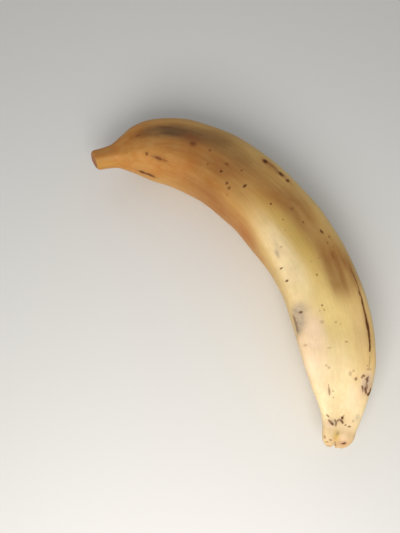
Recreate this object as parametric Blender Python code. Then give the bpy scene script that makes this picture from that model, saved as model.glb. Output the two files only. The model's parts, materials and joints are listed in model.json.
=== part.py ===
"""A plantain: one ripening finger, cut from its hand and lying on its side.

It grew as one piece, so it is one closed solid: a short stalk with its cut end, a shoulder,
a five-sided curved body and a blunt, lobed blossom end with a small scar.
The frame is in metres. +X runs along the chord from the stalk to the blossom end, +Y points to the
convex side of the bend and +Z is up. The origin is on the table, under the middle of the fruit's box.
"""

import math

import bmesh
import bpy
from mathutils import Vector

# Driving dimensions
LENGTH = 0.269  # along the centre line, from the stalk's cut to the blossom end
WIDTH = 0.0450  # across the bend, at the belly
HEIGHT = 0.0445  # at the belly, as it lies
SINK = 0.0004  # how far the resting side is pressed flat

# The fruit's heading in plan, in degrees from the chord, by share of the length
BEND = (
    (0.00, 71.0),
    (0.05, 69.5),
    (0.10, 62.0),
    (0.20, 36.5),
    (0.32, 14.0),
    (0.44, 2.5),
    (0.56, -8.5),
    (0.62, -19.0),
    (0.70, -24.5),
    (0.80, -32.5),
    (0.90, -40.0),
    (0.96, -51.5),
    (1.00, -55.0),
)

# Width and height, as shares of the belly's, by share of the length
GIRTH = (
    (0.000, 0.260, 0.280),
    (0.020, 0.268, 0.290),
    (0.045, 0.305, 0.325),
    (0.070, 0.450, 0.440),
    (0.100, 0.655, 0.640),
    (0.130, 0.780, 0.785),
    (0.165, 0.855, 0.880),
    (0.210, 0.915, 0.945),
    (0.300, 0.940, 0.980),
    (0.430, 0.985, 1.000),
    (0.560, 0.985, 0.985),
    (0.680, 0.985, 0.965),
    (0.760, 0.975, 0.940),
    (0.820, 0.910, 0.885),
    (0.870, 0.765, 0.765),
    (0.910, 0.585, 0.605),
    (0.940, 0.462, 0.485),
    (0.965, 0.398, 0.422),
    (1.000, 0.385, 0.402),
)

# Height of the underside above the table, in metres, by share of the length
UNDERSIDE = (
    (0.00, 0.0210),
    (0.04, 0.0180),
    (0.08, 0.0118),
    (0.12, 0.0060),
    (0.16, 0.0026),
    (0.21, 0.0007),
    (0.27, 0.0000),
    (0.74, 0.0000),
    (0.81, 0.0012),
    (0.88, 0.0042),
    (0.94, 0.0090),
    (1.00, 0.0130),
)

# The five flats of the section face these ways at the stalk and at the blossom end, in degrees:
# 0 is the convex side and 90 is up
FLATS = (
    (354.0, 344.0),
    (74.0, 88.0),
    (150.0, 204.0),
    (210.0, 232.0),
    (266.0, 276.0),
)

# How sharply the flats meet, by share of the length: low is round, high is angular
SHARPNESS = (
    (0.00, 4.6),
    (0.12, 5.8),
    (0.30, 5.5),
    (0.60, 5.2),
    (0.85, 6.0),
    (1.00, 4.2),
)

# Slow swellings of the skin: height in metres, waves along the length, waves round it, start in degrees
SWELLINGS = (
    (0.00028, 3.0, 1, 40.0),
    (0.00020, 5.0, 2, 200.0),
    (0.00012, 9.0, 3, 110.0),
)
SWELLING_FADES = (0.15, 0.10)  # shares of the length over which they rise from the two ends

# The cut end of the stalk
CUT_ROUND = 0.0022  # rounding of its edge
CUT_HOLLOW = 0.0007  # how far its middle has dried in
CUT_TILT = 9.0  # how far the knife leaned, in degrees
EDGE_TURNS = (30.0, 60.0)  # the edge's two rings, as turns round its rounding, in degrees

# The blossom end
TIP_START = 0.0095  # where it starts to close, from the end of the centre line
TIP_ROUND = 0.0070  # length over which it closes
LOBE_RISE = 0.0013  # how far its lobes stand up round the scar
SCAR_RADIUS = 0.0034
SCAR_HOLLOW = 0.0011
GROOVES = (102.0, 268.0, 338.0)  # between its three lobes, in degrees
GROOVE_DEPTH = 0.19  # share of the end's radius
GROOVE_WIDTH = 17.0  # in degrees
GROOVE_REACH = 0.050  # share of the length over which they fade
FULL_LOBE = 180.0  # the lobe that stays full up to the scar, in degrees
FULL_WIDTH = 50.0  # how far round it is full, in degrees
FULL_SHARE = 0.70  # how much wider it is at the very end than a rounded one
FULL_RISE = 2.5  # how late it takes over from the rounding

# Mesh
SIDES = 48
BODY_RINGS = 78
CUT_RINGS = 5
TIP_RINGS = 9
SCAR_RINGS = 3
SPINE_STEPS = 400
CROWDING = 0.085  # how much closer the body's rings stand near its two ends
SHARP_ANGLE = 50.0  # edges that bend more than this stay crisp, in degrees

SKIN_COLOUR = (0.68, 0.49, 0.24, 1.0)
SKIN_ROUGHNESS = 0.5


def smooth_through(stations, at, column=1):
    """Reads a column of the stations at a share of the length, on a smooth line with no overshoot."""
    places = [row[0] for row in stations]
    values = [row[column] for row in stations]
    at = min(max(at, places[0]), places[-1])
    slopes = [
        (values[i + 1] - values[i]) / (places[i + 1] - places[i])
        for i in range(len(places) - 1)
    ]
    tangents = [slopes[0]]
    for before, after in zip(slopes, slopes[1:]):
        level = before * after <= 0.0
        tangents.append(0.0 if level else 2.0 * before * after / (before + after))
    tangents.append(slopes[-1])
    i = max(k for k in range(len(slopes)) if places[k] <= at)
    step = places[i + 1] - places[i]
    t = (at - places[i]) / step
    return (
        values[i] * (1 + 2 * t) * (1 - t) ** 2
        + tangents[i] * step * t * (1 - t) ** 2
        + values[i + 1] * t * t * (3 - 2 * t)
        + tangents[i + 1] * step * t * t * (t - 1)
    )


def centre_line():
    """Points of the centre line in plan, a step of the length apart, starting at the cut."""
    step = LENGTH / SPINE_STEPS
    points = [Vector((0.0, 0.0))]
    for k in range(SPINE_STEPS):
        heading = math.radians(smooth_through(BEND, (k + 0.5) / SPINE_STEPS))
        points.append(points[-1] + step * Vector((math.cos(heading), math.sin(heading))))
    return points


def place_on(line, share):
    """The centre line's point and heading at a share of the length, carried on straight past its ends."""
    inside = min(max(share, 0.0), 1.0)
    heading = math.radians(smooth_through(BEND, inside))
    along = Vector((math.cos(heading), math.sin(heading)))
    at = inside * SPINE_STEPS
    i = min(int(at), SPINE_STEPS - 1)
    point = line[i].lerp(line[i + 1], at - i)
    return point + along * (share - inside) * LENGTH, along


def section_radius(angle, share):
    """Reach of the five-sided section from its middle, in the direction of an angle in degrees."""
    sharpness = smooth_through(SHARPNESS, share)
    flats = [at_stalk + (at_tip - at_stalk) * share for at_stalk, at_tip in FLATS]
    reach = sum(max(math.cos(math.radians(angle - flat)), 0.0) ** sharpness for flat in flats)
    return reach ** (-1.0 / sharpness)


def furrow(angle):
    """How near an angle is to the middle of a groove between two lobes, from 0 to 1."""
    off = min(abs((angle - groove + 180.0) % 360.0 - 180.0) for groove in GROOVES)
    return math.exp(-((off / GROOVE_WIDTH) ** 2))


def groove_share(angle, share):
    """How deep the grooves between the lobes run here, as a share of the radius."""
    fade = max(0.0, 1.0 - (1.0 - share) / GROOVE_REACH)
    if fade <= 0.0:
        return 0.0
    fade = fade * fade * (3 - 2 * fade)
    return GROOVE_DEPTH * fade * furrow(angle)


def swelling(angle, share):
    """Height of the slow swellings at a place on the skin, none at the ends."""
    fade = min(1.0, share / SWELLING_FADES[0], (1.0 - share) / SWELLING_FADES[1])
    return fade * sum(
        height * math.sin(2 * math.pi * waves * share + math.radians(start + around * angle))
        for height, waves, around, start in SWELLINGS
    )


def section(share):
    """One closed section at a share of the length: offsets across the bend and up, from its own middle."""
    inside = min(max(share, 0.0), 1.0)
    angles = [360.0 * k / SIDES for k in range(SIDES)]
    reach = [section_radius(angle, inside) for angle in angles]
    across = [r * math.cos(math.radians(a)) for r, a in zip(reach, angles)]
    up = [r * math.sin(math.radians(a)) for r, a in zip(reach, angles)]
    half_width = WIDTH * smooth_through(GIRTH, inside, 1) / 2
    half_height = HEIGHT * smooth_through(GIRTH, inside, 2) / 2
    points = []
    for angle, x, z in zip(angles, across, up):
        offset = Vector(
            (
                half_width * (2 * (x - min(across)) / (max(across) - min(across)) - 1),
                half_height * (2 * (z - min(up)) / (max(up) - min(up)) - 1),
            )
        )
        offset *= 1.0 - groove_share(angle, inside)
        points.append(offset + offset.normalized() * swelling(angle, inside))
    return points


def fullness(angle):
    """How near an angle is to the middle of the full lobe, from 0 to 1."""
    off = (angle - FULL_LOBE + 180.0) % 360.0 - 180.0
    return math.exp(-((off / FULL_WIDTH) ** 2))


def ring(line, share, scale=1.0, tilt=0.0, lean=0.0, rise=0.0, full=0.0):
    """The section's points in space, scaled about its middle.

    A tilt sets its upper side on along the fruit, and a lean its convex side, as on a slanted cut.
    A rise sets the lobes on, but not the grooves between them. The full lobe is larger by the last share.
    """
    point, along = place_on(line, share)
    side = Vector((-along.y, along.x))
    inside = min(max(share, 0.0), 1.0)
    middle = smooth_through(UNDERSIDE, inside) + HEIGHT * smooth_through(GIRTH, inside, 2) / 2
    placed = []
    for k, (across, up) in enumerate(section(share)):
        grown = 1.0 + full * fullness(360.0 * k / SIDES)
        across, up = across * scale * grown, up * scale * grown
        back = math.tan(math.radians(tilt)) * up + math.tan(math.radians(lean)) * across
        back += rise * grown * (1.0 - furrow(360.0 * k / SIDES))
        flat = point + side * across + along * back
        placed.append(Vector((flat.x, flat.y, middle + up)))
    return placed


def body_share(k):
    """Share of the length for a ring of the body, with rings closer together at both ends."""
    t = k / (BODY_RINGS - 1)
    eased = t - CROWDING * math.sin(2 * math.pi * t)
    return (CUT_ROUND + eased * (LENGTH - CUT_ROUND - TIP_START)) / LENGTH


def cut_rings(line):
    """Rings of the cut face, from its sunken middle out and over the rounded edge."""
    edge = 1.0 - CUT_ROUND / (0.5 * WIDTH * GIRTH[0][1])
    rings = []
    for k in range(1, CUT_RINGS + 1):
        out = edge * k / CUT_RINGS
        hollow = CUT_HOLLOW * (1.0 - (out / edge) ** 2)
        rings.append(ring(line, hollow / LENGTH, out, CUT_TILT, -CUT_TILT))
    for turn in EDGE_TURNS:
        out = edge + (1.0 - edge) * math.sin(math.radians(turn))
        along = CUT_ROUND * (1.0 - math.cos(math.radians(turn)))
        lean = CUT_TILT * (1.0 - turn / 90.0)
        rings.append(ring(line, along / LENGTH, out, lean, -lean))
    return rings


def tip_rings(line):
    """Rings that close the blossom end, over its lobes and down into the scar."""
    start = 1.0 - TIP_START / LENGTH
    rim = SCAR_RADIUS / (0.5 * WIDTH * GIRTH[-1][1])
    last_turn = math.degrees(math.acos(rim))
    rings = []
    for k in range(1, TIP_RINGS + 1):
        turn = math.radians(last_turn * k / TIP_RINGS)
        share = start + TIP_ROUND * math.sin(turn) / LENGTH
        rise = LOBE_RISE * math.sin(math.pi / 2 * k / TIP_RINGS) ** 2
        full = FULL_SHARE * math.sin(turn) ** FULL_RISE
        rings.append(ring(line, share, math.cos(turn), rise=rise, full=full))
    top = start + TIP_ROUND * math.sin(math.radians(last_turn)) / LENGTH
    for k in range(1, SCAR_RINGS + 1):
        out = 1.0 - k / (SCAR_RINGS + 1)
        hollow = SCAR_HOLLOW * (1.0 - out**2)
        rings.append(ring(line, top - hollow / LENGTH, rim * out, rise=LOBE_RISE * out**2, full=full))
    return rings


def all_rings():
    """Every ring from the cut to the scar, with the resting side pressed flat."""
    line = centre_line()
    rings = cut_rings(line)
    rings += [ring(line, body_share(k)) for k in range(BODY_RINGS)]
    rings += tip_rings(line)
    for loop in rings:
        for point in loop:
            point.z = max(point.z - SINK, 0.0)
    return rings


def centred(rings):
    """Moves the rings so that the origin is under the middle of their box."""
    xs = [point.x for loop in rings for point in loop]
    ys = [point.y for loop in rings for point in loop]
    middle = Vector(((min(xs) + max(xs)) / 2, (min(ys) + max(ys)) / 2, 0.0))
    return [[point - middle for point in loop] for loop in rings]


def skin_over(rings):
    """One closed mesh over the rings, with a point in the middle of each end."""
    made = bmesh.new()
    loops = [[made.verts.new(point) for point in loop] for loop in rings]
    for first, second in zip(loops, loops[1:]):
        for k in range(SIDES):
            after = (k + 1) % SIDES
            made.faces.new((first[k], first[after], second[after], second[k]))
    for loop in (loops[0], loops[-1]):
        middle = made.verts.new(sum((v.co for v in loop), Vector()) / SIDES)
        for k in range(SIDES):
            made.faces.new((middle, loop[k], loop[(k + 1) % SIDES]))
    bmesh.ops.recalc_face_normals(made, faces=made.faces)
    mesh = bpy.data.meshes.new("plantain")
    made.to_mesh(mesh)
    made.free()
    mesh.shade_smooth()
    mesh.set_sharp_from_angle(angle=math.radians(SHARP_ANGLE))
    return mesh


def skin_material():
    """Pale yellow skin with a satin surface."""
    material = bpy.data.materials.new("plantain_skin")
    material.use_nodes = True
    shader = material.node_tree.nodes["Principled BSDF"]
    shader.inputs["Base Color"].default_value = SKIN_COLOUR
    shader.inputs["Roughness"].default_value = SKIN_ROUGHNESS
    shader.inputs["Metallic"].default_value = 0.0
    return material


def main():
    for old in list(bpy.data.objects):
        bpy.data.objects.remove(old)
    fruit = bpy.data.objects.new("plantain", skin_over(centred(all_rings())))
    fruit.data.materials.append(skin_material())
    bpy.context.scene.collection.objects.link(fruit)


main()
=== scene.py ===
"""A ripening plantain lying on a pale floor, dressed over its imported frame.

Lengths are in metres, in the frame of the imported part: +X runs along the chord from the stalk to the
blossom end, +Y points to the convex side of the bend and +Z is up, with the origin on the floor.
A place on the skin is a share of the length and an angle round it: 0 is the convex side, 90 is up.
"""

import json
import logging
import math
import random
from dataclasses import dataclass
from enum import Enum

import bmesh
import bpy
import numpy as np
from mathutils import Matrix, Vector

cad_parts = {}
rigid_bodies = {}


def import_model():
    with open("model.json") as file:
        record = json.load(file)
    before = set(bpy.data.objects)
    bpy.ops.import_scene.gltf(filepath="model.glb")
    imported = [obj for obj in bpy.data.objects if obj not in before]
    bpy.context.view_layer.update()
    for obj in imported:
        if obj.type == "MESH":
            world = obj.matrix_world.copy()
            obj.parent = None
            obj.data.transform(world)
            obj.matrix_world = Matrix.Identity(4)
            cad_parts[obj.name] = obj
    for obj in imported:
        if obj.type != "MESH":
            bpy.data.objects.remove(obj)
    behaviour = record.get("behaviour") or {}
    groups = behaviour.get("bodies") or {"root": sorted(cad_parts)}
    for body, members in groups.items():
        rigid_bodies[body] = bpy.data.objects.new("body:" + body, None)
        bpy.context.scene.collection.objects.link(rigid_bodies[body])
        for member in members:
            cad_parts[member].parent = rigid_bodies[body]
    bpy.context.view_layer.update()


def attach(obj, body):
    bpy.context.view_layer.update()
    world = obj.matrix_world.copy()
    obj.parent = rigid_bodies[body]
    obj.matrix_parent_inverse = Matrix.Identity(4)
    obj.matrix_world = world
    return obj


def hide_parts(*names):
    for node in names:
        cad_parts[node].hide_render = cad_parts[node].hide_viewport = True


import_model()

log = logging.getLogger("plantain")

Stations = tuple[tuple[float, ...], ...]
Pair = tuple[float, float]
Triple = tuple[float, float, float]
Colour = tuple[float, float, float, float]
Socket = bpy.types.NodeSocket

BODY = "root"
CAD_NODE = "plantain"
MM = 0.001


def srgb(red: int, green: int, blue: int) -> Colour:
    """Turns a colour from 0 to 255 into linear light.

    Args:
        red: Red, as it is seen.
        green: Green, as it is seen.
        blue: Blue, as it is seen.

    Returns:
        The linear colour, opaque.
    """
    slope, split, foot, power = 12.92, 0.04045, 0.055, 2.4
    levels = [value / 255.0 for value in (red, green, blue)]
    linear = [v / slope if v <= split else ((v + foot) / (1.0 + foot)) ** power for v in levels]
    return (linear[0], linear[1], linear[2], 1.0)


def read_stations(stations: Stations, at: np.ndarray, column: int = 1) -> np.ndarray:
    """Reads a column of the stations on a smooth line with no overshoot.

    Args:
        stations: Rows that each start with a place.
        at: Places to read.
        column: Which value of the rows to read.

    Returns:
        The values at those places.
    """
    places = np.array([row[0] for row in stations])
    values = np.array([row[column] for row in stations])
    at = np.clip(at, places[0], places[-1])
    slopes = np.diff(values) / np.diff(places)
    before, after = slopes[:-1], slopes[1:]
    level = before * after <= 0.0
    inner = np.where(level, 0.0, 2.0 * before * after / np.where(level, 1.0, before + after))
    tangents = np.concatenate([slopes[:1], inner, slopes[-1:]])
    i = np.clip(np.searchsorted(places, at, side="right") - 1, 0, len(slopes) - 1)
    step = places[i + 1] - places[i]
    t = (at - places[i]) / step
    return (
        values[i] * (1 + 2 * t) * (1 - t) ** 2
        + tangents[i] * step * t * (1 - t) ** 2
        + values[i + 1] * t * t * (3 - 2 * t)
        + tangents[i + 1] * step * t * t * (t - 1)
    )


def turn_between(angle: np.ndarray, other: float | np.ndarray) -> np.ndarray:
    """The shorter turn from one angle to another, in degrees from -180 to 180."""
    return (angle - other + 180.0) % 360.0 - 180.0


def eased(value: np.ndarray) -> np.ndarray:
    """A soft step from 0 to 1 over values from 0 to 1."""
    t = np.clip(value, 0.0, 1.0)
    return t * t * (3.0 - 2.0 * t)


@dataclass(frozen=True)
class PlantainForm:
    """The fruit's shape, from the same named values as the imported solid.

    The rows of `bend`, `girth`, `underside` and `sharpness` start with a share of the length. Then come
    the heading in degrees, the shares of the width and of the height, the height off the floor, and the
    power of the section's corners. `flats` has each flat side's middle angle at the stalk and at the
    blossom end, and `swellings` has heights, waves along, waves round and starting angles.
    """

    length: float = 0.269
    width: float = 0.0450
    height: float = 0.0445
    sink: float = 0.0004
    bend: Stations = (
        (0.00, 71.0), (0.05, 69.5), (0.10, 62.0), (0.20, 36.5), (0.32, 14.0), (0.44, 2.5), (0.56, -8.5),
        (0.62, -19.0), (0.70, -24.5), (0.80, -32.5), (0.90, -40.0), (0.96, -51.5), (1.00, -55.0),
    )
    girth: Stations = (
        (0.000, 0.260, 0.280), (0.020, 0.268, 0.290), (0.045, 0.305, 0.325), (0.070, 0.450, 0.440),
        (0.100, 0.655, 0.640), (0.130, 0.780, 0.785), (0.165, 0.855, 0.880), (0.210, 0.915, 0.945),
        (0.300, 0.940, 0.980), (0.430, 0.985, 1.000), (0.560, 0.985, 0.985), (0.680, 0.985, 0.965),
        (0.760, 0.975, 0.940), (0.820, 0.910, 0.885), (0.870, 0.765, 0.765), (0.910, 0.585, 0.605),
        (0.940, 0.462, 0.485), (0.965, 0.398, 0.422), (1.000, 0.385, 0.402),
    )
    underside: Stations = (
        (0.00, 0.0210), (0.04, 0.0180), (0.08, 0.0118), (0.12, 0.0060), (0.16, 0.0026), (0.21, 0.0007),
        (0.27, 0.0000), (0.74, 0.0000), (0.81, 0.0012), (0.88, 0.0042), (0.94, 0.0090), (1.00, 0.0130),
    )
    flats: Stations = (
        (354.0, 344.0), (74.0, 88.0), (150.0, 204.0), (210.0, 232.0), (266.0, 276.0),
    )
    sharpness: Stations = (
        (0.00, 4.6), (0.12, 5.8), (0.30, 5.5), (0.60, 5.2), (0.85, 6.0), (1.00, 4.2),
    )
    swellings: Stations = (
        (0.00028, 3.0, 1.0, 40.0), (0.00020, 5.0, 2.0, 200.0), (0.00012, 9.0, 3.0, 110.0),
    )
    swelling_fades: Pair = (0.15, 0.10)
    cut_round: float = 0.0022
    cut_hollow: float = 0.0007
    cut_tilt: float = 9.0
    tip_start: float = 0.0095
    tip_round: float = 0.0070
    lobe_rise: float = 0.0013
    scar_radius: float = 0.0034
    scar_hollow: float = 0.0011
    grooves: tuple[float, ...] = (102.0, 268.0, 338.0)
    groove_depth: float = 0.19
    groove_width: float = 17.0
    groove_reach: float = 0.050
    full_lobe: float = 180.0
    full_width: float = 50.0
    full_share: float = 0.70
    full_rise: float = 2.5
    spine_steps: int = 400

    def spine(self, shares: np.ndarray) -> tuple[np.ndarray, np.ndarray]:
        """Finds the centre line in plan.

        Args:
            shares: Shares of the length. Past the ends the line carries on straight.

        Returns:
            The points, and the directions there, both in plan.
        """
        steps = (np.arange(self.spine_steps) + 0.5) / self.spine_steps
        heading = np.radians(read_stations(self.bend, steps))
        step = self.length / self.spine_steps
        moves = step * np.stack([np.cos(heading), np.sin(heading)], axis=1)
        line = np.concatenate([np.zeros((1, 2)), np.cumsum(moves, axis=0)])
        inside = np.clip(shares, 0.0, 1.0)
        knots = np.linspace(0.0, 1.0, self.spine_steps + 1)
        heading = np.radians(read_stations(self.bend, inside))
        along = np.stack([np.cos(heading), np.sin(heading)], axis=1)
        points = np.stack([np.interp(inside, knots, line[:, i]) for i in range(2)], axis=1)
        return points + along * ((shares - inside) * self.length)[:, None], along

    def sections(self, shares: np.ndarray, angles: np.ndarray) -> np.ndarray:
        """Draws the five-sided sections.

        Args:
            shares: Shares of the length, one for each ring.
            angles: Angles round the fruit, in degrees.

        Returns:
            Offsets across the bend and up from each section's middle: rings, angles, 2.
        """
        inside = np.clip(shares, 0.0, 1.0)[:, None]
        sharp = read_stations(self.sharpness, inside)
        reach = np.zeros((len(shares), len(angles)))
        for at_stalk, at_tip in self.flats:
            flat = at_stalk + (at_tip - at_stalk) * inside
            reach += np.maximum(np.cos(np.radians(angles[None, :] - flat)), 0.0) ** sharp
        reach = reach ** (-1.0 / sharp)
        halves = (self.width / 2, self.height / 2)
        offsets = np.empty((len(shares), len(angles), 2))
        turned = np.radians(angles)
        for i, round_it in enumerate((np.cos(turned), np.sin(turned))):
            drawn = reach * round_it[None, :]
            low = drawn.min(axis=1, keepdims=True)
            high = drawn.max(axis=1, keepdims=True)
            half = halves[i] * read_stations(self.girth, inside, i + 1)
            offsets[:, :, i] = half * (2.0 * (drawn - low) / (high - low) - 1.0)
        offsets *= (1.0 - self.groove_share(inside, angles))[:, :, None]
        size = np.linalg.norm(offsets, axis=2, keepdims=True)
        return offsets * (1.0 + self.swelling(inside, angles)[:, :, None] / size)

    def furrow(self, angles: np.ndarray) -> np.ndarray:
        """How near each angle is to the middle of a groove between two lobes, from 0 to 1."""
        off = np.min([np.abs(turn_between(angles, groove)) for groove in self.grooves], axis=0)
        return np.exp(-((off / self.groove_width) ** 2))

    def grown(self, rings: "Rings", angles: np.ndarray) -> np.ndarray:
        """How much larger the full lobe is than a rounded one, as a factor at each point."""
        near = np.exp(-((turn_between(angles, self.full_lobe) / self.full_width) ** 2))
        return 1.0 + rings.full[:, None] * near[None, :]

    def groove_share(self, inside: np.ndarray, angles: np.ndarray) -> np.ndarray:
        """How deep the grooves between the blossom end's lobes run, as a share of the radius."""
        fade = eased(1.0 - (1.0 - inside) / self.groove_reach)
        return self.groove_depth * fade * self.furrow(angles)[None, :]

    def swelling(self, inside: np.ndarray, angles: np.ndarray) -> np.ndarray:
        """Adds up the slow swellings, which die out at both ends.

        Args:
            inside: Shares of the length from 0 to 1, as a column.
            angles: Angles round the fruit, in degrees.

        Returns:
            Their height: rings, angles.
        """
        first, last = self.swelling_fades
        fade = np.minimum(1.0, np.minimum(inside / first, (1.0 - inside) / last))
        total = np.zeros((len(inside), len(angles)))
        for height, waves, round_it, start in self.swellings:
            turned = np.radians(start + round_it * angles)[None, :]
            total += height * np.sin(2 * np.pi * waves * inside + turned)
        return fade * total

    def surface(self, rings: "Rings", angles: np.ndarray) -> np.ndarray:
        """Places every ring in space.

        Args:
            rings: The rings' shares, scales and slants.
            angles: Angles round the fruit, in degrees.

        Returns:
            Points: rings, angles, 3. The middle of their box is over the origin.
        """
        points, along = self.spine(rings.share)
        side = np.stack([-along[:, 1], along[:, 0]], axis=1)
        grown = self.grown(rings, angles)
        offsets = self.sections(rings.share, angles) * (rings.scale[:, None] * grown)[:, :, None]
        slant_up = np.tan(np.radians(rings.tilt))[:, None] * offsets[:, :, 1]
        slant_out = np.tan(np.radians(rings.lean))[:, None] * offsets[:, :, 0]
        inside = np.clip(rings.share, 0.0, 1.0)
        half = self.height * read_stations(self.girth, inside, 2) / 2
        middle = read_stations(self.underside, inside) + half
        plan = points[:, None, :] + side[:, None, :] * offsets[:, :, :1]
        back = slant_up + slant_out + rings.rise[:, None] * grown * (1.0 - self.furrow(angles))[None, :]
        plan = plan + along[:, None, :] * back[:, :, None]
        high = np.maximum(middle[:, None] + offsets[:, :, 1] - self.sink, 0.0)
        flat = plan.reshape(-1, 2)
        plan = plan - (flat.min(axis=0) + flat.max(axis=0)) / 2
        return np.concatenate([plan, high[:, :, None]], axis=2)


@dataclass(frozen=True)
class Rings:
    """The rings of the skin: place, scale, slant, how far the lobes stand up and how full one is."""

    share: np.ndarray
    scale: np.ndarray
    tilt: np.ndarray
    lean: np.ndarray
    rise: np.ndarray
    full: np.ndarray
    cut_rings: int
    tip_rings: int
    scar_rings: int

    def run(self, form: PlantainForm) -> np.ndarray:
        """Measures along the skin.

        Args:
            form: The fruit's shape.

        Returns:
            For each ring its place along the skin as a share of the length. On the body that is its own
            share. On the two ends it goes on over the rounding, and so leaves the range from 0 to 1.
        """
        girth = read_stations(form.girth, np.clip(self.share, 0.0, 1.0))
        out = form.width / 2 * girth * self.scale
        along = np.diff(self.share)
        steps = np.hypot(along, np.diff(out) / form.length)
        first = self.cut_rings
        last = len(self.share) - self.tip_rings - self.scar_rings
        steps[first : last - 1] = along[first : last - 1]
        run = np.concatenate([[0.0], np.cumsum(steps)])
        return run - run[first] + self.share[first]


@dataclass(frozen=True)
class RingPlan:
    """How many rings each stretch of the skin gets."""

    cut: int = 13
    cut_edge: int = 7
    body: int = 440
    tip: int = 24
    scar: int = 9
    crowding: float = 0.03

    def rings(self, form: PlantainForm) -> Rings:
        """Lays the rings out from the middle of the cut to the middle of the scar.

        Args:
            form: The fruit's shape.

        Returns:
            The rings, in order.
        """
        rows = self._cut_rows(form) + self._body_rows(form) + self._tip_rows(form)
        table = np.array(rows)
        first = self.cut + self.cut_edge
        columns = [table[:, i] for i in range(table.shape[1])]
        return Rings(*columns, cut_rings=first, tip_rings=self.tip, scar_rings=self.scar)

    def _cut_rows(self, form: PlantainForm) -> list[tuple[float, ...]]:
        """Lays out the cut face and its rounded edge.

        Args:
            form: The fruit's shape.

        Returns:
            A row for each ring: share, scale, tilt, lean, rise of the lobes and fullness.
        """
        edge = 1.0 - form.cut_round / (0.5 * form.width * form.girth[0][1])
        rows = []
        for k in range(1, self.cut + 1):
            out = edge * k / self.cut
            hollow = form.cut_hollow * (1.0 - (out / edge) ** 2)
            rows.append((hollow / form.length, out, form.cut_tilt, -form.cut_tilt, 0.0, 0.0))
        for k in range(1, self.cut_edge + 1):
            turn = math.pi / 2 * k / (self.cut_edge + 1)
            out = edge + (1.0 - edge) * math.sin(turn)
            inward = form.cut_round * (1.0 - math.cos(turn))
            lean = form.cut_tilt * (1.0 - turn / (math.pi / 2))
            rows.append((inward / form.length, out, lean, -lean, 0.0, 0.0))
        return rows

    def _body_rows(self, form: PlantainForm) -> list[tuple[float, ...]]:
        """Lays out the body, a little closer together near both ends.

        Args:
            form: The fruit's shape.

        Returns:
            A row for each ring: share, scale, tilt, lean, rise of the lobes and fullness.
        """
        t = np.arange(self.body) / (self.body - 1)
        t = t - self.crowding * np.sin(2 * np.pi * t)
        shares = (form.cut_round + t * (form.length - form.cut_round - form.tip_start)) / form.length
        return [(float(share), 1.0, 0.0, 0.0, 0.0, 0.0) for share in shares]

    def _tip_rows(self, form: PlantainForm) -> list[tuple[float, ...]]:
        """Closes the blossom end over its lobes, and goes down into the scar.

        Args:
            form: The fruit's shape.

        Returns:
            A row for each ring: share, scale, tilt, lean, rise of the lobes and fullness.
        """
        start = 1.0 - form.tip_start / form.length
        rim = form.scar_radius / (0.5 * form.width * form.girth[-1][1])
        last = math.acos(rim)
        rows = []
        for k in range(1, self.tip + 1):
            turn = last * k / self.tip
            share = start + form.tip_round * math.sin(turn) / form.length
            rise = form.lobe_rise * math.sin(math.pi / 2 * k / self.tip) ** 2
            full = form.full_share * math.sin(turn) ** form.full_rise
            rows.append((share, math.cos(turn), 0.0, 0.0, rise, full))
        top = start + form.tip_round * math.sin(last) / form.length
        for k in range(1, self.scar + 1):
            out = 1.0 - k / (self.scar + 1)
            hollow = form.scar_hollow * (1.0 - out**2)
            rows.append((top - hollow / form.length, rim * out, 0.0, 0.0, form.lobe_rise * out**2, full))
        return rows


class Mark(Enum):
    """A kind of mark on the skin."""

    SPECK = "speck"
    SCAB = "scab"
    SCAR = "scar"
    BRUISE = "bruise"
    TAN = "tan"


@dataclass(frozen=True)
class Blemish:
    """One mark: its place, half its length and width in millimetres, its turn and its depth."""

    kind: Mark
    share: float
    angle: float
    along: float
    across: float
    turn: float = 0.0
    depth: float = 1.0


@dataclass(frozen=True)
class Stroke:
    """A drawn-out mark: share, angle and half width in millimetres of points along it, and its depth."""

    kind: Mark
    depth: float
    stations: Stations


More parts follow.
